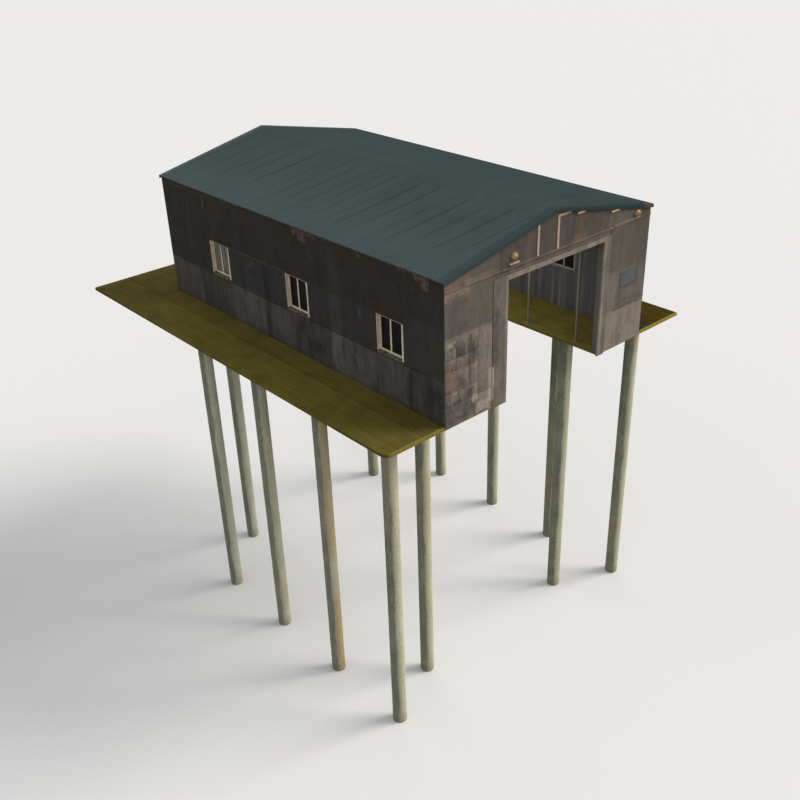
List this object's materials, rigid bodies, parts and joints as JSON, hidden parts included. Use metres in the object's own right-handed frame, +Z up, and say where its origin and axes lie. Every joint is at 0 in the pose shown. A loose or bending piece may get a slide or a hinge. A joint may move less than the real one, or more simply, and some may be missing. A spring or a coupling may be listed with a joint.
{
  "type": "boathouse",
  "caption": "Gabled masonry boathouse with a boat slip between walkways, on a timber deck carried by tall round piles.",
  "frame": {"origin": "centre of the bounding box's base, on the level of the pile feet; X = 0 is the building's centre line", "axes": "+Z up, +X to the right of someone who looks at the boat doorway from outside, +Y from the doorway to the back wall"},
  "size_m": [12.76, 16.4, 15.907],
  "materials": {
    "pile_timber": "weathered, grey-green and mottled",
    "framing_timber": "rough sawn, dark with age",
    "deck_boards": "worn boards, olive yellow with algae",
    "side_render": "weathered dark render over brick and block",
    "front_render": "weathered render with bare block and brick patches",
    "pale_paint": "pale cream painted render",
    "window_paint": "worn cream paint",
    "window_glass": "dark, dusty",
    "sill_render": "weathered pale render",
    "post_paint": "pale worn paint",
    "roof_sheet": "matt teal grey, dirty seams",
    "lamp_housing": "warm lens in a rusty housing",
    "conduit_metal": "pale paint with rust",
    "batten_paint": "pale paint with rust stains",
    "plate_metal": "bare grey, weathered"
  },
  "bodies": {
    "root": {"pile_left_1": "pile_timber", "pile_left_2": "pile_timber", "pile_left_3": "pile_timber", "pile_left_4": "pile_timber", "pile_right_1": "pile_timber", "pile_right_2": "pile_timber", "pile_right_3": "pile_timber", "pile_right_4": "pile_timber", "pile_inner_left_1": "pile_timber", "pile_inner_left_2": "pile_timber", "pile_inner_right_1": "pile_timber", "pile_inner_right_2": "pile_timber", "bearers": "framing_timber", "joists": "framing_timber", "wall_plates": "framing_timber", "tie_beams": "framing_timber", "king_posts": "framing_timber", "rafters": "framing_timber", "purlins": "framing_timber", "deck_left": "deck_boards", "deck_right": "deck_boards", "deck_back": "deck_boards", "left_wall": "side_render", "right_wall": "side_render", "back_wall": "side_render", "front_left_pier": "front_render", "front_right_pier": "front_render", "front_gable": "front_render", "lintel": "front_render", "string_courses": "front_render", "door_post_left": "pale_paint", "door_post_right": "pale_paint", "door_head": "pale_paint", "window_frames": "window_paint", "window_glass": "window_glass", "window_sills": "sill_render", "slip_posts": "post_paint", "roof_left": "roof_sheet", "roof_right": "roof_sheet", "ridge_cap": "roof_sheet", "verge_flashings": "roof_sheet", "lamps": "lamp_housing", "conduit": "conduit_metal", "gable_battens": "batten_paint", "pier_plate": "plate_metal"}
  },
  "joints": []
}
